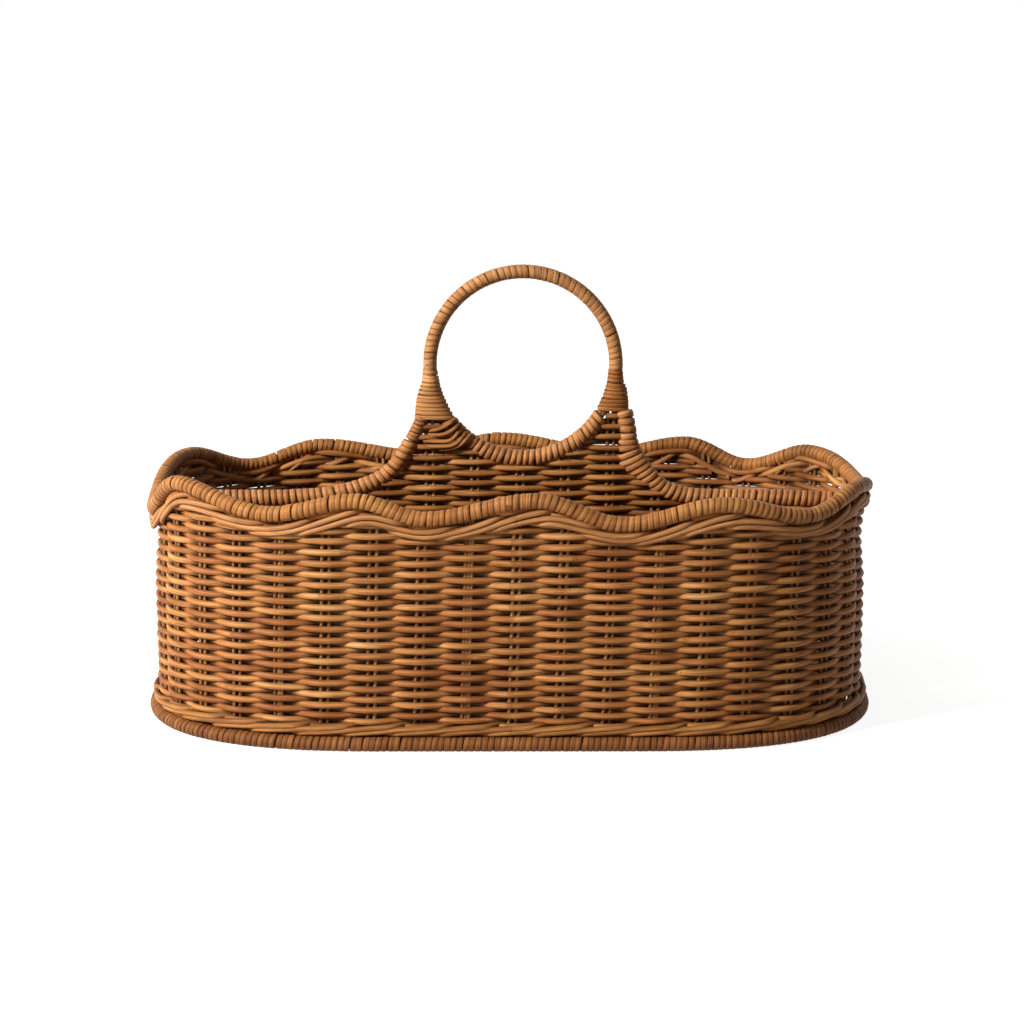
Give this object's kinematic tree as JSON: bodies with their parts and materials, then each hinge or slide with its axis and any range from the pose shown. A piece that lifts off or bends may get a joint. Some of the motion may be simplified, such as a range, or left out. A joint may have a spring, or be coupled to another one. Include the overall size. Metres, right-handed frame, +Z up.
{
  "type": "rattan basket",
  "caption": "Oval woven cane basket with a scalloped bound rim, a bound foot ring, a woven divider and a round ring handle.",
  "frame": {"origin": "on the floor, at the middle of the basket's length and depth", "axes": "+X along the basket's length to the right, +Z up, the front is -Y"},
  "size_m": [0.4222, 0.2142, 0.2562],
  "materials": {
    "weaving_cane": "honey brown round cane, dry satin",
    "wale_cane": "honey brown round cane, satin",
    "binding_cane": "honey brown binding cane, soft gloss",
    "stake_cane": "brown round cane, matt",
    "inner_rod": "bare rattan rod, hidden under the binding"
  },
  "bodies": {
    "root": {"foot_core": "inner_rod", "foot_binding": "binding_cane", "wall_weave": "weaving_cane", "base_weave": "weaving_cane", "bottom_wale": "wale_cane", "top_wale": "wale_cane", "rim_core": "inner_rod", "rim_binding": "binding_cane", "divider_weave": "weaving_cane", "left_edge_rod": "inner_rod", "left_edge_binding": "binding_cane", "left_joint_lashing": "binding_cane", "right_edge_rod": "inner_rod", "right_edge_binding": "binding_cane", "right_joint_lashing": "binding_cane", "handle_ring": "inner_rod", "cradle_binding": "binding_cane", "handle_binding": "binding_cane", "cross_stakes_1": "stake_cane", "cross_stakes_2": "stake_cane", "cross_stakes_3": "stake_cane", "cross_stakes_4": "stake_cane", "cross_stakes_5": "stake_cane", "cross_stakes_6": "stake_cane", "cross_stakes_7": "stake_cane", "cross_stakes_8": "stake_cane", "cross_stakes_9": "stake_cane", "cross_stakes_10": "stake_cane", "cross_stakes_11": "stake_cane", "cross_stakes_12": "stake_cane", "cross_stakes_13": "stake_cane", "cross_stakes_14": "stake_cane", "end_stakes_15": "stake_cane", "end_stakes_16": "stake_cane", "end_stakes_17": "stake_cane", "end_stakes_18": "stake_cane", "end_stakes_19": "stake_cane", "end_stakes_20": "stake_cane", "end_stakes_21": "stake_cane", "end_stakes_22": "stake_cane", "end_stakes_23": "stake_cane", "end_stakes_24": "stake_cane", "end_stakes_25": "stake_cane", "end_stakes_26": "stake_cane", "end_stakes_27": "stake_cane", "end_stakes_28": "stake_cane", "divider_stakes_1": "stake_cane", "divider_stakes_2": "stake_cane", "divider_stakes_3": "stake_cane", "divider_stakes_4": "stake_cane", "divider_stakes_5": "stake_cane", "divider_stakes_6": "stake_cane", "divider_stakes_7": "stake_cane", "divider_stakes_8": "stake_cane", "divider_stakes_9": "stake_cane", "divider_stakes_10": "stake_cane", "divider_stakes_11": "stake_cane", "divider_stakes_12": "stake_cane", "divider_stakes_13": "stake_cane"}
  },
  "joints": []
}
